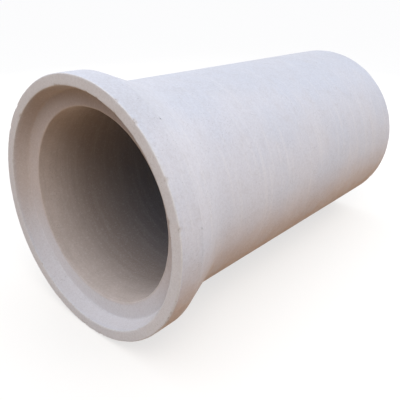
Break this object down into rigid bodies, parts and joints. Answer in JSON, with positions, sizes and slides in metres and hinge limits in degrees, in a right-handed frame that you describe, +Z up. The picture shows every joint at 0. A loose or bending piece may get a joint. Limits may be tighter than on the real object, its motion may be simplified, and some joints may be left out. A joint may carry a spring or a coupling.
{
  "type": "concrete sewer pipe",
  "caption": "Straight round reinforced concrete sewer pipe with a flared bell socket at one end and a plain spigot at the other, lying on its side.",
  "frame": {"origin": "on the ground, under the centre of the pipe's bounding box", "axes": "+X from the bell towards the spigot, along the ground; +Z up; the pipe's own axis dips 2.24 degrees towards +X, because it lies on the back of its bell and on the end of its spigot"},
  "size_m": [2.5788, 1.4612, 1.4653],
  "materials": {
    "concrete": "smooth cast concrete, matt"
  },
  "bodies": {
    "root": {"pipe": "concrete"}
  },
  "joints": []
}
